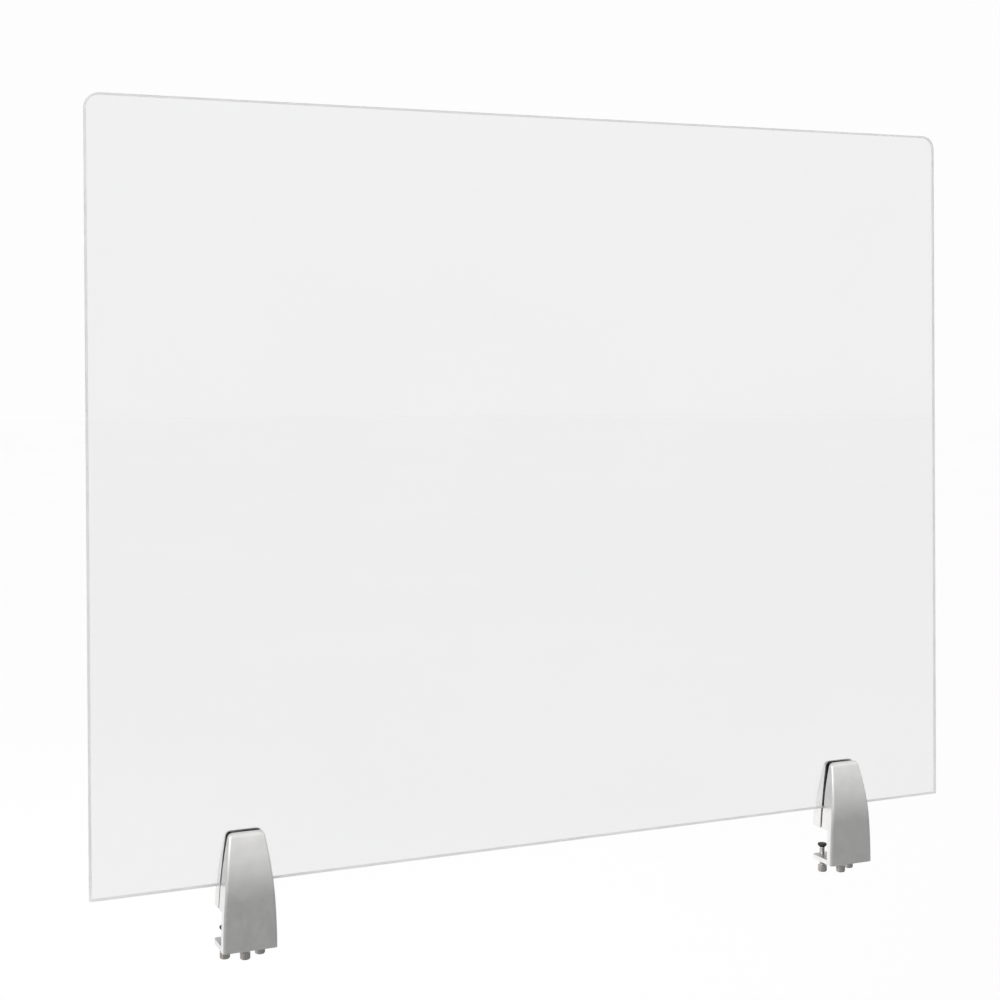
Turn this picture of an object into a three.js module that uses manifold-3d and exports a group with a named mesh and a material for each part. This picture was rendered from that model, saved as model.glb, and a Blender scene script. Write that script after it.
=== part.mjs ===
// Desk privacy panel: a clear acrylic sheet that stands in two cast clamps on the front edge of a desk.
// Millimetres, +X along the panel, +Y away from the user, +Z up.
// The origin is on the desk's top front edge, below the middle of the panel: z = 0 is the desk top,
// and y = 0 is the front edge of the desk.

import * as THREE from 'three';
import { mergeVertices } from 'three/addons/utils/BufferGeometryUtils.js';
import Module from 'manifold-3d';

const wasm = await Module();
wasm.setup();

// Panel
const PANEL_WIDTH = 762;
const PANEL_HEIGHT = 597;
const PANEL_THICKNESS = 4.5;
const PANEL_CORNER = 12;
const PANEL_EDGE_ROUND = 1.6;
const PANEL_EDGE_STEPS = 3;
const PANEL_CORNER_STEPS = 8;
const PANEL_FRONT = 8.2;
const PANEL_BOTTOM = 18;
const PANEL_BACK = PANEL_FRONT + PANEL_THICKNESS;

// Clamps, as places along X
const CLAMPS = [
  { side: 'left', x: -263.5 },
  { side: 'right', x: 278 },
];

// Clamp outline
const CLAMP_TOP = 58;
const CLAMP_BOTTOM = -29.6;
const CLAMP_HALF_WIDTH = 21.3;
const SIDE_TAPER = 7.4;
const FRONT_FACE = -6.4;
const FRONT_LEAN = 9.5;
const FRONT_LEAN_POWER = 1.85;
const REAR_FACE = 24.2;
const REAR_LEAN = 7;
const REAR_LEAN_POWER = 1.6;
const LEAN_START = 8;
const EDGE_RADIUS = 2.5;
const INNER_EDGE_RADIUS = 0.5;
const EDGE_RADIUS_LIMIT = 0.45;
const TOP_CORNER = 3.5;
const TOP_ROUND_DEPTH = 2.3;
const SECTION_STEPS = 11;
const ROUND_STEPS = 4;

// Desk throat and lower jaw
const SEAT_METAL = 0.3;
const JAW_TOP = -25.7;
const JAW_FRONT = FRONT_FACE + 3;
const JAW_REAR = 23.5;
const JAW_HALF_WIDTH = 21;
const JAW_CORNER = 3;

// Slot for the panel
const LEDGE_GAP = 0.2;
const LEDGE_TOP = PANEL_BOTTOM - LEDGE_GAP;
const SLOT_FRONT_LOW = 9.35;
const SLOT_REAR_LOW = 11.55;
const SLOT_GAP = 0.3;
const SLOT_FRONT = PANEL_FRONT - SLOT_GAP;
const SLOT_REAR = PANEL_BACK + SLOT_GAP;
const SLOT_FLARE_START = 34;
const SLOT_FRONT_TOP = 6;
const SLOT_REAR_TOP = 13.5;

// Rubber liners and seat pads
const LINER_GAP = 0.05;
const LINER_BOTTOM = 19.5;
const LINER_TOP = 56.8;
const LINER_INSET = 1.2;
const LINER_STEPS = 8;
const FRONT_LINER_ROOT = 5.2;
const REAR_LINER_ROOT = 15.2;
const POCKET_CLEARANCE = 0.2;
const POCKET_FLOOR_CLEARANCE = 0.1;
const PAD_HALF_LENGTH = 16.8;
const PAD_HEIGHT = 1.1;
const PAD_CORNER = 1.5;
const FRONT_PAD = { front: 1.7, back: 7.7 };
const REAR_PAD = { front: 13.2, back: 22 };

// Desk screws: one below the panel, two behind it
const SCREW_PLACES = [
  { name: 'front', x: 0, y: 10.5 },
  { name: 'rear_left', x: -13.8, y: 18.4 },
  { name: 'rear_right', x: 13.8, y: 18.4 },
];
const FOOT_TOP = -16;
const FOOT_HEIGHT = 2.5;
const FOOT_RADIUS = 4;
const FOOT_BASE_RADIUS = 3.2;
const FOOT_CHAMFER = 0.3;
const FOOT_SOCKET_RADIUS = 1.9;
const FOOT_SOCKET_DEPTH = 1.6;
const SCREW_SHANK_RADIUS = 2.4;
const SCREW_HOLE_RADIUS = 2.6;
const SCREW_NECK_RADIUS = 1.4;
const SCREW_NECK_LENGTH = 1.5;
const SCREW_SHANK_TOP = -18.7;
const SCREW_HEAD_TOP = -35.2;
const SCREW_HEAD_HEIGHT = 5.5;
const SCREW_HEAD_RADIUS = 4;
const SCREW_KEY = 4;
const SCREW_KEY_DEPTH = 3;
const HEAD_CHAMFER = 0.6;

// Grip screws and locating pegs between the two halves of a clamp
const GRIP_Z = 8.5;
const GRIP_SCREW_X = [-8, 8];
const GRIP_SHANK_RADIUS = 1.9;
const GRIP_THREAD_HOLE_RADIUS = 2.1;
const GRIP_CLEARANCE_HOLE_RADIUS = 2.3;
const GRIP_HEAD_SEAT = 19.7;
const GRIP_HEAD_GAP = 0.05;
const GRIP_HEAD_HEIGHT = 4;
const GRIP_HEAD_RADIUS = 3.5;
const GRIP_COUNTERBORE_RADIUS = 3.9;
const GRIP_KEY = 3;
const GRIP_KEY_DEPTH = 2;
const GRIP_SHANK_END = 1;
const GRIP_HOLE_END = -1;
const PEG_X = [-15, 15];
const PEG_RADIUS = 1.6;
const PEG_HOLE_RADIUS = 1.8;
const PEG_ROOT = SLOT_REAR_LOW + 1;
const PEG_END = 4.2;
const PEG_HOLE_END = 3.6;

const ROUND_SIDES = 20;
const CORNER_STEPS = 6;
const HEXAGON = 6;
const CUT_MARGIN = 5;
const MERGE_DISTANCE = 1e-4;

// Materials
const acrylic = new THREE.MeshStandardMaterial({
  color: 0xeef1f2, roughness: 0.08, metalness: 0, transparent: true, opacity: 0.3,
});
const castMetal = new THREE.MeshStandardMaterial({ color: 0xb9b9b6, roughness: 0.42, metalness: 0.85 });
const rubber = new THREE.MeshStandardMaterial({ color: 0x1c1d1f, roughness: 0.9, metalness: 0 });
const zincSteel = new THREE.MeshStandardMaterial({ color: 0x8d8c88, roughness: 0.35, metalness: 0.95 });
const nylon = new THREE.MeshStandardMaterial({ color: 0x17181a, roughness: 0.6, metalness: 0 });

// Booleans

function toSolid(geometry) {
  const bare = geometry.clone();
  bare.deleteAttribute('normal');
  bare.deleteAttribute('uv');
  const merged = mergeVertices(bare, MERGE_DISTANCE);
  const vertProperties = Float32Array.from(merged.attributes.position.array);
  const triVerts = Uint32Array.from(merged.index.array);
  return new wasm.Manifold(new wasm.Mesh({ numProp: 3, vertProperties, triVerts }));
}

function toGeometry(solid) {
  const mesh = solid.getMesh();
  const geometry = new THREE.BufferGeometry();
  geometry.setAttribute('position', new THREE.BufferAttribute(Float32Array.from(mesh.vertProperties), 3));
  geometry.setIndex(new THREE.BufferAttribute(Uint32Array.from(mesh.triVerts), 1));
  return geometry;
}

function cut(geometry, tools) {
  return toGeometry(tools.reduce((solid, tool) => solid.subtract(toSolid(tool)), toSolid(geometry)));
}

function join(geometry, additions) {
  return toGeometry(additions.reduce((solid, addition) => solid.add(toSolid(addition)), toSolid(geometry)));
}

// Simple shapes in the part's own directions

function block(x0, x1, y0, y1, z0, z1) {
  const geometry = new THREE.BoxGeometry(x1 - x0, y1 - y0, z1 - z0);
  return geometry.translate((x0 + x1) / 2, (y0 + y1) / 2, (z0 + z1) / 2);
}

function uprightRod(x, y, z0, z1, radius, sides = ROUND_SIDES) {
  const geometry = new THREE.CylinderGeometry(radius, radius, z1 - z0, sides);
  return geometry.rotateX(Math.PI / 2).translate(x, y, (z0 + z1) / 2);
}

function depthRod(x, z, y0, y1, radius, sides = ROUND_SIDES) {
  const geometry = new THREE.CylinderGeometry(radius, radius, y1 - y0, sides);
  return geometry.translate(x, (y0 + y1) / 2, z);
}

// The corner radius of a hexagon that is `key` across its flats
function hexRadius(key) {
  return key / Math.sqrt(3);
}

// A flat shape drawn in X and Z, given its depth from y0 to y1
function facingPlate(shape, y0, y1) {
  const geometry = new THREE.ExtrudeGeometry(shape, { depth: y1 - y0, bevelEnabled: false });
  return geometry.rotateX(Math.PI / 2).translate(0, y1, 0);
}

// A flat shape drawn in X and Y, given its height from z0 to z1
function lyingPlate(shape, z0, z1) {
  const geometry = new THREE.ExtrudeGeometry(shape, {
    depth: z1 - z0,
    bevelEnabled: false,
    curveSegments: CORNER_STEPS,
  });
  return geometry.translate(0, 0, z0);
}

// A profile drawn in Y and Z, carried along X from x0 to x1
function sideProfile(points, x0, x1) {
  const shape = new THREE.Shape(points.map(([y, z]) => new THREE.Vector2(y, z)));
  const geometry = new THREE.ExtrudeGeometry(shape, { depth: x1 - x0, bevelEnabled: false });
  const turn = new THREE.Matrix4().makeBasis(
    new THREE.Vector3(0, 1, 0),
    new THREE.Vector3(0, 0, 1),
    new THREE.Vector3(1, 0, 0),
  );
  return geometry.applyMatrix4(turn).translate(x0, 0, 0);
}

function roundedRectangle(x0, x1, y0, y1, radius) {
  const shape = new THREE.Shape();
  shape.absarc(x1 - radius, y1 - radius, radius, 0, Math.PI / 2);
  shape.absarc(x0 + radius, y1 - radius, radius, Math.PI / 2, Math.PI);
  shape.absarc(x0 + radius, y0 + radius, radius, Math.PI, 1.5 * Math.PI);
  shape.absarc(x1 - radius, y0 + radius, radius, 1.5 * Math.PI, 2 * Math.PI);
  return shape;
}

// Clamp outline as formulas of height

function halfWidthAt(z) {
  const rise = (z - CLAMP_BOTTOM) / (CLAMP_TOP - CLAMP_BOTTOM);
  return CLAMP_HALF_WIDTH - SIDE_TAPER * rise ** 2;
}

function leanAt(z, amount, power) {
  const rise = Math.max(0, z - LEAN_START) / (CLAMP_TOP - LEAN_START);
  return amount * rise ** power;
}

function frontFaceAt(z) {
  return FRONT_FACE + leanAt(z, FRONT_LEAN, FRONT_LEAN_POWER);
}

function rearFaceAt(z) {
  return REAR_FACE - leanAt(z, REAR_LEAN, REAR_LEAN_POWER);
}

// How far the rounded top has turned in at a height, from 0 at its start to 1 at the very top
function topTurnAt(z) {
  const rise = THREE.MathUtils.clamp((z - CLAMP_TOP + TOP_CORNER) / TOP_CORNER, 0, 1);
  return 1 - Math.sqrt(1 - rise ** 2);
}

function outlineHalfWidthAt(z) {
  return halfWidthAt(z) - TOP_CORNER * topTurnAt(z);
}

// Heights of a half's sections: even steps, then the rounded top
function sectionHeights(bottom) {
  const roundStart = CLAMP_TOP - TOP_CORNER;
  const heights = [];
  for (let step = 0; step <= SECTION_STEPS; step += 1) {
    heights.push(bottom + (roundStart - bottom) * (step / SECTION_STEPS));
  }
  for (let step = 1; step <= ROUND_STEPS; step += 1) {
    heights.push(roundStart + TOP_CORNER * Math.sin((Math.PI / 2) * (step / ROUND_STEPS)));
  }
  return heights;
}

// One horizontal section, anticlockwise from above, with its own corner radius in front and behind
function sectionRing(halfWidth, front, back, frontRadius, backRadius) {
  const limit = EDGE_RADIUS_LIMIT * (back - front);
  const rf = Math.min(frontRadius, limit);
  const rb = Math.min(backRadius, limit);
  const corners = [
    { x: -halfWidth + rf, y: front + rf, radius: rf, start: Math.PI },
    { x: halfWidth - rf, y: front + rf, radius: rf, start: 1.5 * Math.PI },
    { x: halfWidth - rb, y: back - rb, radius: rb, start: 0 },
    { x: -halfWidth + rb, y: back - rb, radius: rb, start: 0.5 * Math.PI },
  ];
  const ring = [];
  for (const corner of corners) {
    for (let step = 0; step <= ROUND_STEPS; step += 1) {
      const angle = corner.start + (Math.PI / 2) * (step / ROUND_STEPS);
      ring.push([corner.x + corner.radius * Math.cos(angle), corner.y + corner.radius * Math.sin(angle)]);
    }
  }
  return ring;
}

// A closed body through horizontal rings of equal length, stacked upward
function loft(rings) {
  const size = rings[0].points.length;
  const positions = rings.flatMap(({ points, z }) => points.flatMap(([x, y]) => [x, y, z]));
  const index = [];
  for (let level = 0; level < rings.length - 1; level += 1) {
    for (let i = 0; i < size; i += 1) {
      const a = level * size + i;
      const b = level * size + ((i + 1) % size);
      index.push(a, b, b + size, a, b + size, a + size);
    }
  }
  const top = (rings.length - 1) * size;
  for (let i = 1; i < size - 1; i += 1) {
    index.push(0, i + 1, i);
    index.push(top, top + i, top + i + 1);
  }
  const geometry = new THREE.BufferGeometry();
  geometry.setAttribute('position', new THREE.Float32BufferAttribute(positions, 3));
  geometry.setIndex(index);
  return geometry;
}

// The panel's outline: round top corners and square bottom corners
function panelGeometry() {
  const half = PANEL_WIDTH / 2;
  const top = PANEL_BOTTOM + PANEL_HEIGHT;
  const shape = new THREE.Shape();
  shape.moveTo(-half, PANEL_BOTTOM);
  shape.lineTo(half, PANEL_BOTTOM);
  shape.absarc(half - PANEL_CORNER, top - PANEL_CORNER, PANEL_CORNER, 0, Math.PI / 2);
  shape.absarc(-half + PANEL_CORNER, top - PANEL_CORNER, PANEL_CORNER, Math.PI / 2, Math.PI);
  shape.lineTo(-half, PANEL_BOTTOM);
  const geometry = new THREE.ExtrudeGeometry(shape, {
    depth: PANEL_THICKNESS - 2 * PANEL_EDGE_ROUND,
    bevelThickness: PANEL_EDGE_ROUND,
    bevelSize: PANEL_EDGE_ROUND,
    bevelOffset: -PANEL_EDGE_ROUND,
    bevelSegments: PANEL_EDGE_STEPS,
    curveSegments: PANEL_CORNER_STEPS,
  });
  return geometry.rotateX(Math.PI / 2).translate(0, PANEL_BACK - PANEL_EDGE_ROUND, 0);
}

// A liner's outline follows the clamp's, a little inside it
function linerShape(grow) {
  const bottom = LINER_BOTTOM - grow;
  const top = LINER_TOP + grow;
  const right = [];
  for (let step = 0; step <= LINER_STEPS; step += 1) {
    const z = bottom + (top - bottom) * (step / LINER_STEPS);
    right.push(new THREE.Vector2(outlineHalfWidthAt(z) - LINER_INSET + grow, z));
  }
  const left = right.map((point) => new THREE.Vector2(-point.x, point.y)).reverse();
  return new THREE.Shape([...right, ...left]);
}

function frontLinerGeometry() {
  return facingPlate(linerShape(0), FRONT_LINER_ROOT, PANEL_FRONT - LINER_GAP);
}

function rearLinerGeometry() {
  return facingPlate(linerShape(0), PANEL_BACK + LINER_GAP, REAR_LINER_ROOT);
}

function seatPadShape(pad, grow) {
  return roundedRectangle(
    -PAD_HALF_LENGTH - grow, PAD_HALF_LENGTH + grow, pad.front - grow, pad.back + grow, PAD_CORNER,
  );
}

function seatPadGeometry(pad) {
  return lyingPlate(seatPadShape(pad, 0), 0, PAD_HEIGHT);
}

function seatPocket(pad) {
  return lyingPlate(seatPadShape(pad, POCKET_CLEARANCE), -CUT_MARGIN, PAD_HEIGHT + POCKET_FLOOR_CLEARANCE);
}

// Front half: the grip in front of the panel, the seat on the desk, the front wall and the lower jaw
function clampBodyGeometry() {
  const wide = CLAMP_HALF_WIDTH + CUT_MARGIN;
  const shell = loft(sectionHeights(CLAMP_BOTTOM).map((z) => ({
    z,
    points: sectionRing(
      outlineHalfWidthAt(z),
      frontFaceAt(z) + TOP_ROUND_DEPTH * topTurnAt(z),
      SLOT_FRONT_LOW,
      EDGE_RADIUS,
      INNER_EDGE_RADIUS,
    ),
  })));
  const throat = block(-wide, wide, 0, SLOT_FRONT_LOW + CUT_MARGIN, CLAMP_BOTTOM - CUT_MARGIN, SEAT_METAL);
  const slotRelief = sideProfile([
    [SLOT_FRONT, LEDGE_TOP],
    [SLOT_FRONT_LOW + CUT_MARGIN, LEDGE_TOP],
    [SLOT_FRONT_LOW + CUT_MARGIN, CLAMP_TOP + CUT_MARGIN],
    [SLOT_FRONT_TOP, CLAMP_TOP + CUT_MARGIN],
    [SLOT_FRONT_TOP, CLAMP_TOP],
    [SLOT_FRONT, SLOT_FLARE_START],
  ], -wide, wide);
  const linerPocket = facingPlate(
    linerShape(POCKET_CLEARANCE), FRONT_LINER_ROOT - POCKET_FLOOR_CLEARANCE, SLOT_FRONT_LOW + CUT_MARGIN,
  );
  const gripHoles = GRIP_SCREW_X.map((x) => depthRod(
    x, GRIP_Z, GRIP_HOLE_END, SLOT_FRONT_LOW + CUT_MARGIN, GRIP_THREAD_HOLE_RADIUS,
  ));
  const pegHoles = PEG_X.map((x) => depthRod(
    x, GRIP_Z, PEG_HOLE_END, SLOT_FRONT_LOW + CUT_MARGIN, PEG_HOLE_RADIUS,
  ));
  const hollows = [throat, slotRelief, linerPocket, seatPocket(FRONT_PAD), ...gripHoles, ...pegHoles];
  const upper = cut(shell, hollows);
  const jawShape = roundedRectangle(-JAW_HALF_WIDTH, JAW_HALF_WIDTH, JAW_FRONT, JAW_REAR, JAW_CORNER);
  const jaw = lyingPlate(jawShape, CLAMP_BOTTOM, JAW_TOP);
  const screwHoles = SCREW_PLACES.map(({ x, y }) => uprightRod(
    x, y, CLAMP_BOTTOM - CUT_MARGIN, JAW_TOP + CUT_MARGIN, SCREW_HOLE_RADIUS,
  ));
  return cut(join(upper, [jaw]), screwHoles);
}

// Rear half: the grip behind the panel, which two screws draw towards the front half
function rearJawGeometry() {
  const wide = CLAMP_HALF_WIDTH + CUT_MARGIN;
  const shell = loft(sectionHeights(SEAT_METAL).map((z) => ({
    z,
    points: sectionRing(
      outlineHalfWidthAt(z),
      SLOT_REAR_LOW,
      rearFaceAt(z) - TOP_ROUND_DEPTH * topTurnAt(z),
      INNER_EDGE_RADIUS,
      EDGE_RADIUS,
    ),
  })));
  const slotRelief = sideProfile([
    [SLOT_REAR_LOW - CUT_MARGIN, LEDGE_TOP],
    [SLOT_REAR, LEDGE_TOP],
    [SLOT_REAR, SLOT_FLARE_START],
    [SLOT_REAR_TOP, CLAMP_TOP],
    [SLOT_REAR_TOP, CLAMP_TOP + CUT_MARGIN],
    [SLOT_REAR_LOW - CUT_MARGIN, CLAMP_TOP + CUT_MARGIN],
  ], -wide, wide);
  const linerPocket = facingPlate(
    linerShape(POCKET_CLEARANCE), SLOT_REAR_LOW - CUT_MARGIN, REAR_LINER_ROOT + POCKET_FLOOR_CLEARANCE,
  );
  const gripHoles = GRIP_SCREW_X.flatMap((x) => [
    depthRod(x, GRIP_Z, SLOT_REAR_LOW - CUT_MARGIN, REAR_FACE + CUT_MARGIN, GRIP_CLEARANCE_HOLE_RADIUS),
    depthRod(x, GRIP_Z, GRIP_HEAD_SEAT, REAR_FACE + CUT_MARGIN, GRIP_COUNTERBORE_RADIUS),
  ]);
  const pegs = PEG_X.map((x) => depthRod(x, GRIP_Z, PEG_END, PEG_ROOT, PEG_RADIUS));
  return join(cut(shell, [slotRelief, linerPocket, seatPocket(REAR_PAD), ...gripHoles]), pegs);
}

// A round body from its profile of radius and height, standing on the Z axis
function turned(profile) {
  const points = profile.map(([radius, z]) => new THREE.Vector2(radius, z));
  return new THREE.LatheGeometry(points, ROUND_SIDES).rotateX(Math.PI / 2);
}

function deskScrewGeometry() {
  const headBottom = SCREW_HEAD_TOP - SCREW_HEAD_HEIGHT;
  const body = turned([
    [0, headBottom],
    [SCREW_HEAD_RADIUS - HEAD_CHAMFER, headBottom],
    [SCREW_HEAD_RADIUS, headBottom + HEAD_CHAMFER],
    [SCREW_HEAD_RADIUS, SCREW_HEAD_TOP],
    [SCREW_SHANK_RADIUS, SCREW_HEAD_TOP],
    [SCREW_SHANK_RADIUS, SCREW_SHANK_TOP],
    [SCREW_NECK_RADIUS, SCREW_SHANK_TOP],
    [SCREW_NECK_RADIUS, SCREW_SHANK_TOP + SCREW_NECK_LENGTH],
    [0, SCREW_SHANK_TOP + SCREW_NECK_LENGTH],
  ]);
  const keyTop = headBottom + SCREW_KEY_DEPTH;
  const key = uprightRod(0, 0, headBottom - CUT_MARGIN, keyTop, hexRadius(SCREW_KEY), HEXAGON);
  return cut(body, [key]);
}

function footGeometry() {
  const bottom = FOOT_TOP - FOOT_HEIGHT;
  return turned([
    [0, bottom + FOOT_SOCKET_DEPTH],
    [FOOT_SOCKET_RADIUS, bottom + FOOT_SOCKET_DEPTH],
    [FOOT_SOCKET_RADIUS, bottom],
    [FOOT_BASE_RADIUS, bottom],
    [FOOT_RADIUS, bottom + FOOT_HEIGHT / 2],
    [FOOT_RADIUS, FOOT_TOP - FOOT_CHAMFER],
    [FOOT_RADIUS - FOOT_CHAMFER, FOOT_TOP],
    [0, FOOT_TOP],
  ]);
}

// A grip screw lies along Y with its head behind
function gripScrewGeometry() {
  const headSeat = GRIP_HEAD_SEAT + GRIP_HEAD_GAP;
  const headEnd = headSeat + GRIP_HEAD_HEIGHT;
  const body = turned([
    [0, GRIP_SHANK_END],
    [GRIP_SHANK_RADIUS, GRIP_SHANK_END],
    [GRIP_SHANK_RADIUS, headSeat],
    [GRIP_HEAD_RADIUS, headSeat],
    [GRIP_HEAD_RADIUS, headEnd - HEAD_CHAMFER],
    [GRIP_HEAD_RADIUS - HEAD_CHAMFER, headEnd],
    [0, headEnd],
  ]);
  const keyBottom = headEnd - GRIP_KEY_DEPTH;
  const key = uprightRod(0, 0, keyBottom, headEnd + CUT_MARGIN, hexRadius(GRIP_KEY), HEXAGON);
  return cut(body, [key]).rotateX(-Math.PI / 2);
}

// Assembly

function part(name, geometry, material, x = 0, y = 0, z = 0) {
  const mesh = new THREE.Mesh(geometry, material);
  mesh.name = name;
  mesh.position.set(x, y, z);
  return mesh;
}

function clamp(side, centre) {
  const group = new THREE.Group();
  group.position.x = centre;
  group.add(part(`${side}_clamp_body`, clampBodyGeometry(), castMetal));
  group.add(part(`${side}_front_liner`, frontLinerGeometry(), rubber));
  group.add(part(`${side}_front_seat_pad`, seatPadGeometry(FRONT_PAD), rubber));
  group.add(part(`${side}_rear_jaw`, rearJawGeometry(), castMetal));
  group.add(part(`${side}_rear_liner`, rearLinerGeometry(), rubber));
  group.add(part(`${side}_rear_seat_pad`, seatPadGeometry(REAR_PAD), rubber));
  GRIP_SCREW_X.forEach((x, i) => {
    group.add(part(`${side}_grip_screw_${i + 1}`, gripScrewGeometry(), zincSteel, x, 0, GRIP_Z));
  });
  for (const { name, x, y } of SCREW_PLACES) {
    group.add(part(`${side}_foot_${name}`, footGeometry(), nylon, x, y));
    group.add(part(`${side}_desk_screw_${name}`, deskScrewGeometry(), zincSteel, x, y));
  }
  return group;
}

const privacyPanel = new THREE.Group();
privacyPanel.add(part('panel', panelGeometry(), acrylic));
for (const { side, x } of CLAMPS) {
  privacyPanel.add(clamp(side, x));
}

export default privacyPanel;
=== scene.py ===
import math

import bmesh
import bpy
from mathutils import Matrix, Vector


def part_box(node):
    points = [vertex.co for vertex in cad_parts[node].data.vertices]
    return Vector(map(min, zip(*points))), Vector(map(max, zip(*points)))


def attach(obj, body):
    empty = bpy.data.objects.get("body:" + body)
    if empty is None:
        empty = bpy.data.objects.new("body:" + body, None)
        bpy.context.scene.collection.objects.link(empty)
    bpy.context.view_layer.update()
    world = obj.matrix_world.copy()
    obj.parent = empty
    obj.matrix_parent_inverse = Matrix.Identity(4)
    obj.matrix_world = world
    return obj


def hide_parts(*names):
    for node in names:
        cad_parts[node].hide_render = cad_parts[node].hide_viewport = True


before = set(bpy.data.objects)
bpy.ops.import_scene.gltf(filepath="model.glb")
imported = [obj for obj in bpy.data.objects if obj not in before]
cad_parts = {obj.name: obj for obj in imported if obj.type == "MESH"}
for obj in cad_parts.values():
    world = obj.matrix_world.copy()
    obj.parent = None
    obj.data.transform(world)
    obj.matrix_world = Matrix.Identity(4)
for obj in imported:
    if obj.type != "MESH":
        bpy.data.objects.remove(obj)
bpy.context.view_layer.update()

# Sizes are in metres. MM turns a size in millimetres into metres.
MM = 0.001

# Camera
CAMERA_PLACE = (-0.6097, -1.2873, 0.4220)
CAMERA_YAW = math.radians(23.383)
CAMERA_PITCH = math.radians(-0.439)
CAMERA_ROLL = math.radians(0.316)
SENSOR_WIDTH = 36.0
CAMERA_LENS = 62.74
CAMERA_SHIFT_Y = -0.1348

# Stage
DESK_HEIGHT = 0.73
FLOOR_RADIUS = 30.0
FLOOR_SIDES = 96
BACKDROP = 0.985  # the surround's strength for every ray but a reflected one
KEY_PLACE = (-1.7, -1.3, 1.5)
KEY_TARGET = (0.0, 0.0, 0.1)
KEY_SIZE = 1.4
KEY_ENERGY = 14.0

# Clamp outline
SIDE_TAPER = 7.4 * MM
FRONT_LEAN = 9.5 * MM
FRONT_LEAN_POWER = 1.85
REAR_LEAN = 7.0 * MM
REAR_LEAN_POWER = 1.6
LEAN_START = 8.0 * MM
EDGE_RADIUS = 2.5 * MM
INNER_EDGE_RADIUS = 0.5 * MM
EDGE_RADIUS_LIMIT = 0.45
TOP_CORNER = 3.5 * MM
TOP_ROUND_DEPTH = 2.3 * MM
SECTION_STEPS = 64
TOP_STEPS = 12
CORNER_STEPS = 10
CAST_EDGE = 0.35 * MM
SOFT_EDGE_STEPS = 3

# Throat, jaw and slot
SEAT_METAL = 0.3 * MM
JAW_THICKNESS = 3.9 * MM
JAW_HALF_WIDTH = 21.0 * MM
JAW_CORNER = 3.0 * MM
JAW_FRONT_INSET = 3.0 * MM
THROAT_FILLET = 1.0 * MM
LEDGE_GAP = 0.2 * MM
SLOT_FRONT_LOW = 9.35 * MM
SLOT_REAR_LOW = 11.55 * MM
SLOT_GAP = 0.3 * MM
SLOT_FLARE_START = 34.0 * MM
SLOT_FRONT_TOP = 6.0 * MM
SLOT_REAR_TOP = 13.5 * MM

# Rubber
LINER_INSET = 1.2 * MM
LINER_STEPS = 28
POCKET_CLEARANCE = 0.2 * MM
POCKET_FLOOR_CLEARANCE = 0.1 * MM
PAD_CORNER = 1.5 * MM
RUBBER_EDGE = 0.3 * MM

# Screws, pegs and feet
PEG_OFFSET = 15.0 * MM
PEG_RADIUS = 1.6 * MM
PEG_HOLE_RADIUS = 1.8 * MM
PEG_HOLE_END = 3.6 * MM
PEG_ROOT = SLOT_REAR_LOW + 1.0 * MM
GRIP_HOLE_RADIUS = 2.1 * MM
GRIP_HOLE_END = -1.0 * MM
GRIP_CLEARANCE_RADIUS = 2.3 * MM
GRIP_HEAD_SEAT = 19.7 * MM
GRIP_COUNTERBORE_RADIUS = 3.9 * MM
GRIP_SHANK_RADIUS = 1.9 * MM
GRIP_PITCH = 0.7 * MM
GRIP_HEAD_HEIGHT = 4.0 * MM
GRIP_KEY = 3.0 * MM
GRIP_KEY_DEPTH = 2.0 * MM
DESK_HOLE_RADIUS = 2.6 * MM
DESK_SHANK_RADIUS = 2.4 * MM
DESK_PITCH = 0.8 * MM
DESK_HEAD_HEIGHT = 5.5 * MM
DESK_KEY = 4.0 * MM
DESK_KEY_DEPTH = 3.0 * MM
NECK_RADIUS = 1.4 * MM
NECK_LENGTH = 1.5 * MM
HEAD_CHAMFER = 0.5 * MM
SOCKET_CONE = 1 / 6
KNURL_DEPTH = 0.3 * MM
KNURL_RAMP = 0.35 * MM
KNURL_START = 0.7 * MM
KNURL_TEETH = 20
KNURL_SAMPLES = 6
RING_SIDES = KNURL_TEETH * KNURL_SAMPLES  # a multiple of 6, for the hexagons
THREAD_DEPTH = 0.38 * MM
THREAD_ROWS_PER_TURN = 6
FOOT_BASE_RADIUS = 3.2 * MM
FOOT_SOCKET_RADIUS = 1.9 * MM
FOOT_SOCKET_DEPTH = 1.6 * MM
FOOT_EDGE = 0.45 * MM
HOLE_SIDES = 48

# Panel
PANEL_CORNER = 12.0 * MM
PANEL_SQUARE_CORNER = 0.8 * MM
PANEL_EDGE_ROUND = 1.6 * MM
PANEL_CORNER_STEPS = 24
PANEL_EDGE_STEPS = 10
SMALLEST_RADIUS = 0.05 * MM
ACRYLIC_IOR = 1.49
EDGE_PASSED = 0.6  # the share of the Translucent shader in the edge material
FACE_FACING = 0.999  # how square to Y a face is before it counts as one of the sheet's two faces

CUT_MARGIN = 5.0 * MM
SMOOTH_ANGLE = math.radians(32)
GRIP_SCREWS = ("grip_screw_1", "grip_screw_2")
SCREW_PLACES = ("front", "rear_left", "rear_right")


# Meshes

def mesh_object(name, points, faces):
    mesh = bpy.data.meshes.new(name)
    mesh.from_pydata([tuple(point) for point in points], [], faces)
    made = bmesh.new()
    made.from_mesh(mesh)
    bmesh.ops.recalc_face_normals(made, faces=made.faces)
    made.to_mesh(mesh)
    made.free()
    piece = bpy.data.objects.new(name, mesh)
    bpy.context.scene.collection.objects.link(piece)
    return piece


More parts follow.
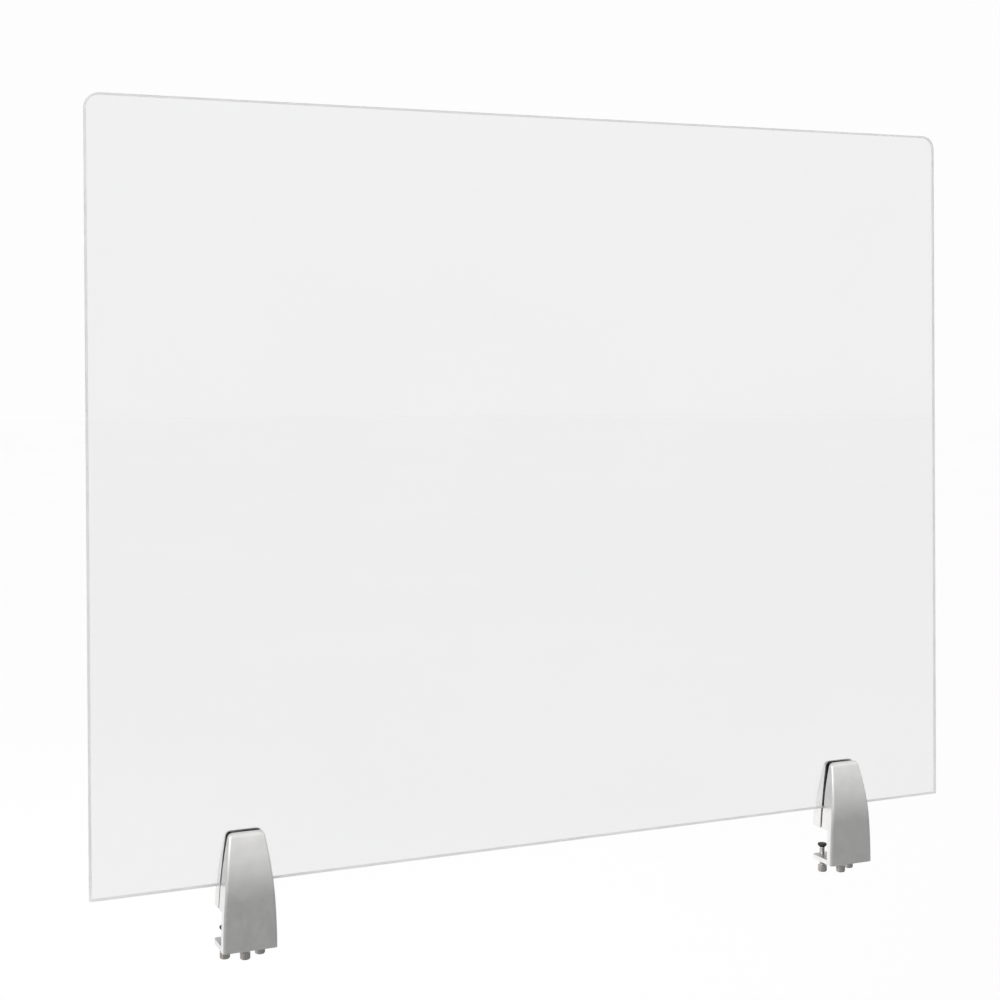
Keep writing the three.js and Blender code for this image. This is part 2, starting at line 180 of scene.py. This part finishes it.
def tube_of_rings(name, rings):
    """A closed surface through rings with the same number of points, with a flat cap at each end."""
    size = len(rings[0])
    points = [point for ring in rings for point in ring]
    faces = []
    for level in range(len(rings) - 1):
        for i in range(size):
            a = level * size + i
            b = level * size + (i + 1) % size
            faces.append((a, b, b + size, a + size))
    last = (len(rings) - 1) * size
    faces.append(tuple(reversed(range(size))))
    faces.append(tuple(range(last, last + size)))
    return mesh_object(name, points, faces)


def block(name, x0, x1, y0, y1, z0, z1):
    rings = [[(x0, y0, z), (x1, y0, z), (x1, y1, z), (x0, y1, z)] for z in (z0, z1)]
    return tube_of_rings(name, rings)


def rod(name, start, end, radius):
    """A round cutter or peg between two points."""
    axis = (Vector(end) - Vector(start)).normalized()
    turn = axis.to_track_quat("Z", "Y")
    rings = []
    for centre in (Vector(start), Vector(end)):
        ring = []
        for i in range(HOLE_SIDES):
            angle = 2 * math.pi * i / HOLE_SIDES
            ring.append(centre + turn @ Vector((radius * math.cos(angle), radius * math.sin(angle), 0)))
        rings.append(ring)
    return tube_of_rings(name, rings)


def side_profile(name, outline, x0, x1):
    """An outline of (y, z) points carried along X."""
    return tube_of_rings(name, [[(x, y, z) for y, z in outline] for x in (x0, x1)])


def rounded_rectangle(x0, x1, y0, y1, radii, steps):
    """Points anticlockwise from the low corner, with one radius for each corner."""
    corners = (
        (x0, y0, 1, 1, math.pi),
        (x1, y0, -1, 1, 1.5 * math.pi),
        (x1, y1, -1, -1, 0.0),
        (x0, y1, 1, -1, 0.5 * math.pi),
    )
    points = []
    for (x, y, inward_x, inward_y, start), radius in zip(corners, radii):
        for step in range(steps + 1):
            angle = start + 0.5 * math.pi * step / steps
            points.append((
                x + inward_x * radius + radius * math.cos(angle),
                y + inward_y * radius + radius * math.sin(angle),
            ))
    return points


def apply_modifiers(piece):
    evaluated = piece.evaluated_get(bpy.context.evaluated_depsgraph_get())
    mesh = bpy.data.meshes.new_from_object(evaluated)
    piece.modifiers.clear()
    piece.data = mesh


def combine(piece, others, operation):
    for other in others:
        boolean = piece.modifiers.new("boolean", "BOOLEAN")
        boolean.operation = operation
        boolean.solver = "EXACT"
        boolean.object = other
        apply_modifiers(piece)
        bpy.data.objects.remove(other)


def soften(piece, width):
    """Rounds the sharp edges and keeps the flat faces flat."""
    bevel = piece.modifiers.new("bevel", "BEVEL")
    bevel.width = width
    bevel.segments = SOFT_EDGE_STEPS
    bevel.limit_method = "ANGLE"
    bevel.angle_limit = SMOOTH_ANGLE
    bevel.use_clamp_overlap = True
    apply_modifiers(piece)
    return smooth(piece)


def smooth(piece):
    piece.data.shade_smooth()
    piece.data.set_sharp_from_angle(angle=SMOOTH_ANGLE)
    normals = piece.modifiers.new("normals", "WEIGHTED_NORMAL")
    normals.keep_sharp = True
    apply_modifiers(piece)
    return piece


# Places from the frame

def middle(node):
    low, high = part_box(node)
    return (low + high) / 2


class Clamp:
    """One clamp's driving places, read from its CAD nodes."""

    def __init__(self, side):
        body_low, body_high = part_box(f"{side}_clamp_body")
        rear_low, rear_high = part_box(f"{side}_rear_jaw")
        self.side = side
        self.x = middle(f"{side}_clamp_body").x
        self.bottom = body_low.z
        self.top = body_high.z
        self.half_width = (body_high.x - body_low.x) / 2
        self.front_face = body_low.y
        self.jaw_rear = body_high.y
        self.rear_face = rear_high.y
        self.peg_end = rear_low.y
        self.front_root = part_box(f"{side}_front_liner")[0].y
        self.rear_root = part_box(f"{side}_rear_liner")[1].y
        self.liner_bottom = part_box(f"{side}_front_liner")[0].z
        self.liner_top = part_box(f"{side}_front_liner")[1].z
        self.grip_z = middle(f"{side}_grip_screw_1").z

    def half_width_at(self, z):
        rise = (z - self.bottom) / (self.top - self.bottom)
        return self.half_width - SIDE_TAPER * rise ** 2

    def lean_at(self, z, amount, power):
        rise = max(0.0, z - LEAN_START) / (self.top - LEAN_START)
        return amount * rise ** power

    def front_at(self, z):
        return self.front_face + self.lean_at(z, FRONT_LEAN, FRONT_LEAN_POWER)

    def rear_at(self, z):
        return self.rear_face - self.lean_at(z, REAR_LEAN, REAR_LEAN_POWER)

    def top_turn_at(self, z):
        """How far the rounded top has turned in, from 0 at its start to 1 at the very top."""
        rise = min(1.0, max(0.0, (z - self.top + TOP_CORNER) / TOP_CORNER))
        return 1 - math.sqrt(1 - rise ** 2)

    def outline_at(self, z):
        return self.half_width_at(z) - TOP_CORNER * self.top_turn_at(z)

    def heights(self, bottom):
        start = self.top - TOP_CORNER
        even = [bottom + (start - bottom) * step / SECTION_STEPS for step in range(SECTION_STEPS + 1)]
        turned = [
            start + TOP_CORNER * math.sin(0.5 * math.pi * step / TOP_STEPS)
            for step in range(1, TOP_STEPS + 1)
        ]
        return even + turned

    def shell(self, name, bottom, front, back, front_radius, back_radius):
        rings = []
        for z in self.heights(bottom):
            limit = EDGE_RADIUS_LIMIT * (back(z) - front(z))
            rf = min(front_radius, limit)
            rb = min(back_radius, limit)
            half = self.outline_at(z)
            outline = rounded_rectangle(
                self.x - half, self.x + half, front(z), back(z), (rf, rf, rb, rb), CORNER_STEPS,
            )
            rings.append([(x, y, z) for x, y in outline])
        return tube_of_rings(name, rings)

    def liner_outline(self, grow):
        bottom = self.liner_bottom - grow
        top = self.liner_top + grow
        right = []
        for step in range(LINER_STEPS + 1):
            z = bottom + (top - bottom) * step / LINER_STEPS
            right.append((self.outline_at(z) - LINER_INSET + grow, z))
        left = [(-x, z) for x, z in reversed(right)]
        return right + left

    def liner_solid(self, name, grow, y0, y1):
        outline = self.liner_outline(grow)
        return tube_of_rings(name, [[(self.x + x, y, z) for x, z in outline] for y in (y0, y1)])

    def grip_places(self):
        return [middle(f"{self.side}_{name}").x for name in GRIP_SCREWS]

    def peg_places(self):
        return self.x - PEG_OFFSET, self.x + PEG_OFFSET

    def level_rod(self, name, x, y0, y1, radius):
        """A rod along Y at the height of the grip screws."""
        return rod(name, (x, y0, self.grip_z), (x, y1, self.grip_z), radius)

    def seat_pocket(self, node):
        low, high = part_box(f"{self.side}_{node}")
        return pad_solid(
            "pocket", low - Vector((POCKET_CLEARANCE, POCKET_CLEARANCE, CUT_MARGIN)),
            high + Vector((POCKET_CLEARANCE, POCKET_CLEARANCE, POCKET_FLOOR_CLEARANCE)), PAD_CORNER,
        )


def pad_solid(name, low, high, radius):
    outline = rounded_rectangle(low.x, high.x, low.y, high.y, (radius,) * 4, CORNER_STEPS)
    return tube_of_rings(name, [[(x, y, z) for x, y in outline] for z in (low.z, high.z)])


# Pieces of a clamp

def throat_fillet(clamp, jaw_top):
    """The small fillet where the front wall meets the lower jaw."""
    root = THROAT_FILLET
    outline = [(-root, jaw_top - root), (root, jaw_top - root)]
    for step in range(CORNER_STEPS + 1):
        angle = 1.5 * math.pi - 0.5 * math.pi * step / CORNER_STEPS
        outline.append((root + root * math.cos(angle), jaw_top + root + root * math.sin(angle)))
    outline.append((-root, jaw_top + root))
    half = JAW_HALF_WIDTH - THROAT_FILLET
    return side_profile("fillet", outline, clamp.x - half, clamp.x + half)


def clamp_body(clamp):
    panel_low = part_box("panel")[0]
    ledge = panel_low.z - LEDGE_GAP
    slot_front = panel_low.y - SLOT_GAP
    jaw_top = clamp.bottom + JAW_THICKNESS
    x0 = clamp.x - clamp.half_width - CUT_MARGIN
    x1 = clamp.x + clamp.half_width + CUT_MARGIN
    behind = SLOT_FRONT_LOW + CUT_MARGIN
    shell = clamp.shell(
        f"{clamp.side}_clamp_body_cast", clamp.bottom,
        lambda z: clamp.front_at(z) + TOP_ROUND_DEPTH * clamp.top_turn_at(z),
        lambda z: SLOT_FRONT_LOW, EDGE_RADIUS, INNER_EDGE_RADIUS,
    )
    jaw = pad_solid(
        "jaw",
        Vector((clamp.x - JAW_HALF_WIDTH, clamp.front_face + JAW_FRONT_INSET, clamp.bottom)),
        Vector((clamp.x + JAW_HALF_WIDTH, clamp.jaw_rear, jaw_top)), JAW_CORNER,
    )
    throat = block("throat", x0, x1, 0.0, behind, clamp.bottom - CUT_MARGIN, SEAT_METAL)
    combine(shell, [throat], "DIFFERENCE")
    combine(shell, [jaw, throat_fillet(clamp, jaw_top)], "UNION")
    over = clamp.top + CUT_MARGIN
    cutters = [
        side_profile("slot", [
            (slot_front, ledge), (behind, ledge), (behind, over), (SLOT_FRONT_TOP, over),
            (SLOT_FRONT_TOP, clamp.top), (slot_front, SLOT_FLARE_START),
        ], x0, x1),
        clamp.liner_solid("pocket", POCKET_CLEARANCE, clamp.front_root - POCKET_FLOOR_CLEARANCE, behind),
        clamp.seat_pocket("front_seat_pad"),
    ]
    for x in clamp.grip_places():
        cutters.append(clamp.level_rod("hole", x, GRIP_HOLE_END, behind, GRIP_HOLE_RADIUS))
    for x in clamp.peg_places():
        cutters.append(clamp.level_rod("hole", x, PEG_HOLE_END, behind, PEG_HOLE_RADIUS))
    for place in SCREW_PLACES:
        spot = middle(f"{clamp.side}_desk_screw_{place}")
        cutters.append(rod(
            "hole", (spot.x, spot.y, clamp.bottom - CUT_MARGIN), (spot.x, spot.y, jaw_top + CUT_MARGIN),
            DESK_HOLE_RADIUS,
        ))
    combine(shell, cutters, "DIFFERENCE")
    return soften(shell, CAST_EDGE)


def rear_jaw(clamp):
    panel_low, panel_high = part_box("panel")
    ledge = panel_low.z - LEDGE_GAP
    slot_rear = panel_high.y + SLOT_GAP
    x0 = clamp.x - clamp.half_width - CUT_MARGIN
    x1 = clamp.x + clamp.half_width + CUT_MARGIN
    before = SLOT_REAR_LOW - CUT_MARGIN
    behind = clamp.rear_face + CUT_MARGIN
    shell = clamp.shell(
        f"{clamp.side}_rear_jaw_cast", SEAT_METAL, lambda z: SLOT_REAR_LOW,
        lambda z: clamp.rear_at(z) - TOP_ROUND_DEPTH * clamp.top_turn_at(z),
        INNER_EDGE_RADIUS, EDGE_RADIUS,
    )
    over = clamp.top + CUT_MARGIN
    cutters = [
        side_profile("slot", [
            (before, ledge), (slot_rear, ledge), (slot_rear, SLOT_FLARE_START),
            (SLOT_REAR_TOP, clamp.top), (SLOT_REAR_TOP, over), (before, over),
        ], x0, x1),
        clamp.liner_solid("pocket", POCKET_CLEARANCE, before, clamp.rear_root + POCKET_FLOOR_CLEARANCE),
        clamp.seat_pocket("rear_seat_pad"),
    ]
    for x in clamp.grip_places():
        cutters.append(clamp.level_rod("hole", x, before, behind, GRIP_CLEARANCE_RADIUS))
        cutters.append(clamp.level_rod("hole", x, GRIP_HEAD_SEAT, behind, GRIP_COUNTERBORE_RADIUS))
    combine(shell, cutters, "DIFFERENCE")
    pegs = [clamp.level_rod("peg", x, clamp.peg_end, PEG_ROOT, PEG_RADIUS) for x in clamp.peg_places()]
    combine(shell, pegs, "UNION")
    return soften(shell, CAST_EDGE)


def liner(clamp, node):
    low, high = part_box(f"{clamp.side}_{node}")
    return soften(clamp.liner_solid(f"{clamp.side}_{node}_rubber", 0.0, low.y, high.y), RUBBER_EDGE)


def seat_pad(clamp, node):
    low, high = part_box(f"{clamp.side}_{node}")
    return soften(pad_solid(f"{clamp.side}_{node}_rubber", low, high, PAD_CORNER), RUBBER_EDGE)


# Screws and feet: rings round an axis, each a radius at every angle and a height

def ring_at(radius_at, height):
    ring = []
    for i in range(RING_SIDES):
        angle = 2 * math.pi * i / RING_SIDES
        radius = radius_at(angle)
        ring.append((radius * math.cos(angle), radius * math.sin(angle), height))
    return ring


def round_ring(radius, height):
    return ring_at(lambda angle: radius, height)


def hex_ring(key, height):
    """A ring on a hexagon that is key across its flats."""
    sector = math.pi / 3
    return ring_at(lambda angle: key / 2 / math.cos((angle % sector) - sector / 2), height)


def knurl_ring(radius, depth, height):
    return ring_at(lambda angle: radius - depth * (0.5 - 0.5 * math.cos(KNURL_TEETH * angle)), height)


def thread_rings(radius, pitch, start, end):
    """Rings of a right-hand thread from one height to another, run out at both ends."""
    count = max(2, round(abs(end - start) / pitch * THREAD_ROWS_PER_TURN))
    rings = []
    for row in range(count + 1):
        height = start + (end - start) * row / count
        run_out = min(1.0, row / THREAD_ROWS_PER_TURN, (count - row) / THREAD_ROWS_PER_TURN)

        def radius_at(angle, height=height, run_out=run_out):
            phase = (height / pitch - angle / (2 * math.pi)) % 1.0
            return radius - THREAD_DEPTH * run_out * abs(2 * phase - 1)

        rings.append(ring_at(radius_at, height))
    return rings


def head_rings(radius, height, key, key_depth, shank):
    """A knurled socket head that opens at height 0 and ends on its shank at the given height."""
    floor = key_depth + key * SOCKET_CONE
    return [
        round_ring(SMALLEST_RADIUS, floor),
        hex_ring(key, key_depth),
        hex_ring(key, HEAD_CHAMFER / 2),
        hex_ring(key + HEAD_CHAMFER, 0.0),
        round_ring(radius - HEAD_CHAMFER, 0.0),
        round_ring(radius - KNURL_DEPTH, KNURL_RAMP),
        knurl_ring(radius, KNURL_DEPTH, KNURL_START),
        knurl_ring(radius, KNURL_DEPTH, height - HEAD_CHAMFER),
        round_ring(radius - KNURL_DEPTH, height - HEAD_CHAMFER / 2),
        round_ring(radius - HEAD_CHAMFER / 2, height),
        round_ring(shank, height),
    ]


def desk_screw(clamp, place):
    node = f"{clamp.side}_desk_screw_{place}"
    low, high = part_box(node)
    head_radius = (high.x - low.x) / 2
    shank_top = (high.z - low.z) - NECK_LENGTH
    rings = head_rings(head_radius, DESK_HEAD_HEIGHT, DESK_KEY, DESK_KEY_DEPTH, DESK_SHANK_RADIUS)
    rings += thread_rings(
        DESK_SHANK_RADIUS, DESK_PITCH, DESK_HEAD_HEIGHT + DESK_PITCH / 2, shank_top - DESK_PITCH / 2,
    )
    rings += [
        round_ring(DESK_SHANK_RADIUS - THREAD_DEPTH, shank_top),
        round_ring(NECK_RADIUS, shank_top),
        round_ring(NECK_RADIUS, shank_top + NECK_LENGTH),
    ]
    screw = tube_of_rings(f"{node}_steel", rings)
    screw.data.transform(Matrix.Translation((middle(node).x, middle(node).y, low.z)))
    return smooth(screw)


def grip_screw(clamp, name):
    node = f"{clamp.side}_{name}"
    low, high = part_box(node)
    head_radius = (high.x - low.x) / 2
    length = high.y - low.y
    rings = head_rings(head_radius, GRIP_HEAD_HEIGHT, GRIP_KEY, GRIP_KEY_DEPTH, GRIP_SHANK_RADIUS)
    rings += thread_rings(GRIP_SHANK_RADIUS, GRIP_PITCH, length / 2, length - GRIP_PITCH / 2)
    rings.append(round_ring(GRIP_SHANK_RADIUS - THREAD_DEPTH, length))
    screw = tube_of_rings(f"{node}_steel", rings)
    screw.data.transform(Matrix.Rotation(math.pi / 2, 4, "X"))
    screw.data.transform(Matrix.Translation((middle(node).x, high.y, middle(node).z)))
    return smooth(screw)


def foot(clamp, place):
    node = f"{clamp.side}_foot_{place}"
    low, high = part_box(node)
    radius = (high.x - low.x) / 2
    height = high.z - low.z
    rings = [
        round_ring(SMALLEST_RADIUS, FOOT_SOCKET_DEPTH),
        round_ring(FOOT_SOCKET_RADIUS, FOOT_SOCKET_DEPTH),
        round_ring(FOOT_SOCKET_RADIUS, 0.0),
        round_ring(FOOT_BASE_RADIUS, 0.0),
        round_ring(radius, height / 2),
    ]
    for step in range(CORNER_STEPS + 1):
        angle = 0.5 * math.pi * step / CORNER_STEPS
        rings.append(round_ring(
            radius - FOOT_EDGE * (1 - math.cos(angle)), height - FOOT_EDGE * (1 - math.sin(angle)),
        ))
    piece = tube_of_rings(f"{node}_nylon", rings)
    piece.data.transform(Matrix.Translation((middle(node).x, middle(node).y, low.z)))
    return smooth(piece)


# Panel

def panel_sheet():
    low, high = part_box("panel")
    rings = []
    profile = []
    for step in range(PANEL_EDGE_STEPS + 1):
        angle = 0.5 * math.pi * step / PANEL_EDGE_STEPS
        inset = PANEL_EDGE_ROUND * (1 - math.sin(angle))
        depth = PANEL_EDGE_ROUND * (1 - math.cos(angle))
        profile.append((inset, depth))
    places = [(inset, low.y + depth) for inset, depth in profile]
    places += [(inset, high.y - depth) for inset, depth in reversed(profile)]
    for inset, y in places:
        square = max(SMALLEST_RADIUS, PANEL_SQUARE_CORNER - inset)
        turned = PANEL_CORNER - inset
        outline = rounded_rectangle(
            low.x + inset, high.x - inset, low.z + inset, high.z - inset,
            (square, square, turned, turned), PANEL_CORNER_STEPS,
        )
        rings.append([(x, y, z) for x, z in outline])
    sheet = tube_of_rings("panel_sheet", rings)
    sheet.data.shade_smooth()
    # Only the sheet's front and back have more than four corners, and they stay flat.
    for polygon in sheet.data.polygons:
        if len(polygon.vertices) > 4:
            polygon.use_smooth = False
    return sheet


# Materials. Colour and roughness go from one end to the other between these two noise values.

NOISE_LOW = 0.3
NOISE_HIGH = 0.7


class Surface:
    """A material whose colour, roughness and bump come from noise in the object's own space."""

    def __init__(self, name):
        self.material = bpy.data.materials.new(name)
        self.material.use_nodes = True
        self.nodes = self.material.node_tree.nodes
        self.links = self.material.node_tree.links
        self.shader = self.nodes["Principled BSDF"]
        self.coordinates = self.nodes.new("ShaderNodeTexCoord")

    def noise(self, scale, detail=4.0):
        texture = self.nodes.new("ShaderNodeTexNoise")
        texture.inputs["Scale"].default_value = scale
        texture.inputs["Detail"].default_value = detail
        self.links.new(self.coordinates.outputs["Object"], texture.inputs["Vector"])
        return texture.outputs["Fac"]

    def colour(self, fac, dark, light):
        ramp = self.nodes.new("ShaderNodeValToRGB")
        ramp.color_ramp.elements[0].position = NOISE_LOW
        ramp.color_ramp.elements[0].color = (*dark, 1.0)
        ramp.color_ramp.elements[1].position = NOISE_HIGH
        ramp.color_ramp.elements[1].color = (*light, 1.0)
        self.links.new(fac, ramp.inputs["Fac"])
        self.links.new(ramp.outputs["Color"], self.shader.inputs["Base Color"])
        return ramp.outputs["Color"]

    def roughness(self, fac, low, high):
        spread = self.nodes.new("ShaderNodeMapRange")
        spread.inputs["From Min"].default_value = NOISE_LOW
        spread.inputs["From Max"].default_value = NOISE_HIGH
        spread.inputs["To Min"].default_value = low
        spread.inputs["To Max"].default_value = high
        self.links.new(fac, spread.inputs["Value"])
        self.links.new(spread.outputs["Result"], self.shader.inputs["Roughness"])

    def bump(self, fac, strength, distance):
        bump = self.nodes.new("ShaderNodeBump")
        bump.inputs["Strength"].default_value = strength
        bump.inputs["Distance"].default_value = distance
        self.links.new(fac, bump.inputs["Height"])
        self.links.new(bump.outputs["Normal"], self.shader.inputs["Normal"])

    def let_through(self, colour, share):
        """Mixes in a share of a Translucent shader, which shows the light from behind the surface."""
        translucent = self.nodes.new("ShaderNodeBsdfTranslucent")
        self.links.new(colour, translucent.inputs["Color"])
        mix = self.nodes.new("ShaderNodeMixShader")
        mix.inputs["Fac"].default_value = share
        self.links.new(self.shader.outputs["BSDF"], mix.inputs[1])
        self.links.new(translucent.outputs["BSDF"], mix.inputs[2])
        self.links.new(mix.outputs["Shader"], self.nodes["Material Output"].inputs["Surface"])


def cast_metal():
    surface = Surface("cast_metal")
    surface.colour(surface.noise(90.0), (0.685, 0.680, 0.675), (0.745, 0.740, 0.735))
    surface.roughness(surface.noise(260.0), 0.34, 0.42)
    surface.bump(surface.noise(2600.0, 3.0), 0.12, 0.03 * MM)
    surface.shader.inputs["Metallic"].default_value = 0.9
    return surface.material


def rubber():
    surface = Surface("rubber")
    surface.colour(surface.noise(400.0), (0.045, 0.045, 0.047), (0.075, 0.075, 0.078))
    surface.roughness(surface.noise(700.0), 0.72, 0.9)
    surface.bump(surface.noise(2200.0, 5.0), 0.25, 0.05 * MM)
    return surface.material


def zinc_steel():
    surface = Surface("zinc_steel")
    surface.colour(surface.noise(500.0), (0.52, 0.495, 0.480), (0.68, 0.655, 0.635))
    surface.roughness(surface.noise(1200.0), 0.18, 0.32)
    surface.bump(surface.noise(3500.0, 3.0), 0.1, 0.02 * MM)
    surface.shader.inputs["Metallic"].default_value = 1.0
    return surface.material


def nylon():
    surface = Surface("nylon")
    surface.colour(surface.noise(600.0), (0.014, 0.014, 0.016), (0.024, 0.024, 0.027))
    surface.roughness(surface.noise(900.0), 0.42, 0.58)
    surface.bump(surface.noise(2800.0), 0.15, 0.03 * MM)
    return surface.material


def acrylic():
    surface = Surface("acrylic")
    surface.colour(surface.noise(6.0, 2.0), (0.892, 0.892, 0.894), (0.902, 0.902, 0.904))
    surface.roughness(surface.noise(14.0, 3.0), 0.0, 0.012)
    surface.shader.inputs["Transmission Weight"].default_value = 1.0
    surface.shader.inputs["IOR"].default_value = ACRYLIC_IOR
    return surface.material


def acrylic_edge():
    """The rounded edges, which scatter light both ways and so read as an even grey from every side."""
    surface = Surface("acrylic_edge")
    colour = surface.colour(surface.noise(60.0, 3.0), (0.80, 0.80, 0.80), (0.86, 0.86, 0.86))
    surface.roughness(surface.noise(240.0, 3.0), 0.3, 0.4)
    surface.shader.inputs["IOR"].default_value = ACRYLIC_IOR
    surface.let_through(colour, EDGE_PASSED)
    return surface.material


def floor_material():
    surface = Surface("pale_floor")
    surface.colour(surface.noise(0.6, 2.0), (0.985, 0.985, 0.985), (0.995, 0.995, 0.995))
    surface.roughness(surface.noise(1.1, 2.0), 0.85, 0.95)
    surface.shader.inputs["Specular IOR Level"].default_value = 0.0
    return surface.material


# Assembly

def place(piece, material, body, node, slot):
    piece.data.materials.clear()
    piece.data.materials.append(material)
    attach(piece, body)
    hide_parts(node)


def give_edges(piece, material):
    """Gives every face that isn't square to Y the edge material."""
    piece.data.materials.append(material)
    for polygon in piece.data.polygons:
        polygon.material_index = int(abs(polygon.normal.y) < FACE_FACING)


def build_clamp(side, materials):
    clamp = Clamp(side)

    def add(piece, body, node, slot):
        place(piece, materials[slot], f"{side}_{body}", f"{side}_{node}", slot)

    add(clamp_body(clamp), "clamp", "clamp_body", "cast_metal")
    add(rear_jaw(clamp), "rear_jaw", "rear_jaw", "cast_metal")
    for half, body in (("front", "clamp"), ("rear", "rear_jaw")):
        add(liner(clamp, f"{half}_liner"), body, f"{half}_liner", "rubber")
        add(seat_pad(clamp, f"{half}_seat_pad"), body, f"{half}_seat_pad", "rubber")
    for name in GRIP_SCREWS:
        add(grip_screw(clamp, name), name, name, "zinc_steel")
    for spot in SCREW_PLACES:
        add(foot(clamp, spot), f"foot_{spot}", f"foot_{spot}", "nylon")
        add(desk_screw(clamp, spot), f"desk_screw_{spot}", f"desk_screw_{spot}", "zinc_steel")


# Stage, light and camera

def pale_floor():
    ring = []
    for i in range(FLOOR_SIDES):
        angle = 2 * math.pi * i / FLOOR_SIDES
        ring.append((FLOOR_RADIUS * math.cos(angle), FLOOR_RADIUS * math.sin(angle), -DESK_HEIGHT))
    floor = mesh_object("floor", ring, [tuple(range(FLOOR_SIDES))])
    floor.data.materials.append(floor_material())
    # Reflections see the graded surround instead of the floor.
    floor.visible_glossy = False


def world_light():
    """A white surround, which reflections see graded by direction."""
    world = bpy.data.worlds.new("studio")
    world.use_nodes = True
    nodes = world.node_tree.nodes
    links = world.node_tree.links
    background = nodes["Background"]
    background.inputs["Color"].default_value = (1.0, 1.0, 1.0, 1.0)
    direction = nodes.new("ShaderNodeSeparateXYZ")
    links.new(nodes.new("ShaderNodeTexCoord").outputs["Generated"], direction.inputs["Vector"])

    def reach(axis, start, end, low, high):
        """A smooth step along one axis of the direction, from low at start to high at end."""
        spread = nodes.new("ShaderNodeMapRange")
        spread.interpolation_type = "SMOOTHSTEP"
        spread.inputs["From Min"].default_value = start
        spread.inputs["From Max"].default_value = end
        spread.inputs["To Min"].default_value = low
        spread.inputs["To Max"].default_value = high
        links.new(direction.outputs[axis], spread.inputs["Value"])
        return spread.outputs["Result"]

    def maths(operation, a, b):
        node = nodes.new("ShaderNodeMath")
        node.operation = operation
        node.use_clamp = operation == "SUBTRACT"
        links.new(a, node.inputs[0])
        links.new(b, node.inputs[1])
        return node.outputs["Value"]

    # Dim below and bright above, at half strength behind.
    upper = maths("MULTIPLY", reach("Z", -0.30, 0.45, 0.26, 1.12), reach("Y", 0.0, 0.9, 1.0, 0.5))
    # Bright behind and low, where the desk top would be.
    behind_low = maths("MULTIPLY", reach("Y", 0.0, 0.9, 0.0, 0.85), reach("Z", 0.25, -0.15, 0.0, 1.0))
    # Brighter to the left, and more so behind.
    left = maths("MULTIPLY", reach("X", -0.1, -0.7, 0.0, 0.5), reach("Y", -0.2, 0.6, 0.25, 1.0))
    studio = maths("ADD", maths("ADD", upper, behind_low), left)
    # A refracted ray counts as glossy too, so transmission is taken off.
    path = nodes.new("ShaderNodeLightPath")
    reflected = maths("SUBTRACT", path.outputs["Is Glossy Ray"], path.outputs["Is Transmission Ray"])
    mix = nodes.new("ShaderNodeMix")
    mix.data_type = "FLOAT"
    mix.inputs["A"].default_value = BACKDROP
    links.new(reflected, mix.inputs["Factor"])
    links.new(studio, mix.inputs["B"])
    links.new(mix.outputs["Result"], background.inputs["Strength"])
    bpy.context.scene.world = world


def softbox(name, location, target, size, energy):
    light = bpy.data.lights.new(name, "AREA")
    light.shape = "SQUARE"
    light.size = size
    light.energy = energy
    lamp = bpy.data.objects.new(name, light)
    lamp.location = location
    lamp.rotation_euler = (Vector(target) - Vector(location)).to_track_quat("-Z", "Y").to_euler()
    lamp.visible_camera = False
    bpy.context.scene.collection.objects.link(lamp)


def camera():
    lens = bpy.data.cameras.new("camera")
    lens.sensor_width = SENSOR_WIDTH
    lens.lens = CAMERA_LENS
    lens.shift_y = CAMERA_SHIFT_Y
    eye = bpy.data.objects.new("camera", lens)
    turn = Matrix.Rotation(-CAMERA_YAW, 4, "Z")
    tilt = Matrix.Rotation(math.pi / 2 + CAMERA_PITCH, 4, "X")
    roll = Matrix.Rotation(-CAMERA_ROLL, 4, "Z")
    eye.matrix_world = Matrix.Translation(CAMERA_PLACE) @ turn @ tilt @ roll
    bpy.context.scene.collection.objects.link(eye)
    bpy.context.scene.camera = eye


bpy.context.scene.view_settings.view_transform = "Standard"
materials = {
    "acrylic": acrylic(),
    "cast_metal": cast_metal(),
    "rubber": rubber(),
    "zinc_steel": zinc_steel(),
    "nylon": nylon(),
}
sheet = panel_sheet()
place(sheet, materials["acrylic"], "panel", "panel", "acrylic")
give_edges(sheet, acrylic_edge())
for side in ("left", "right"):
    build_clamp(side, materials)
pale_floor()
world_light()
softbox("key", KEY_PLACE, KEY_TARGET, KEY_SIZE, KEY_ENERGY)
camera()
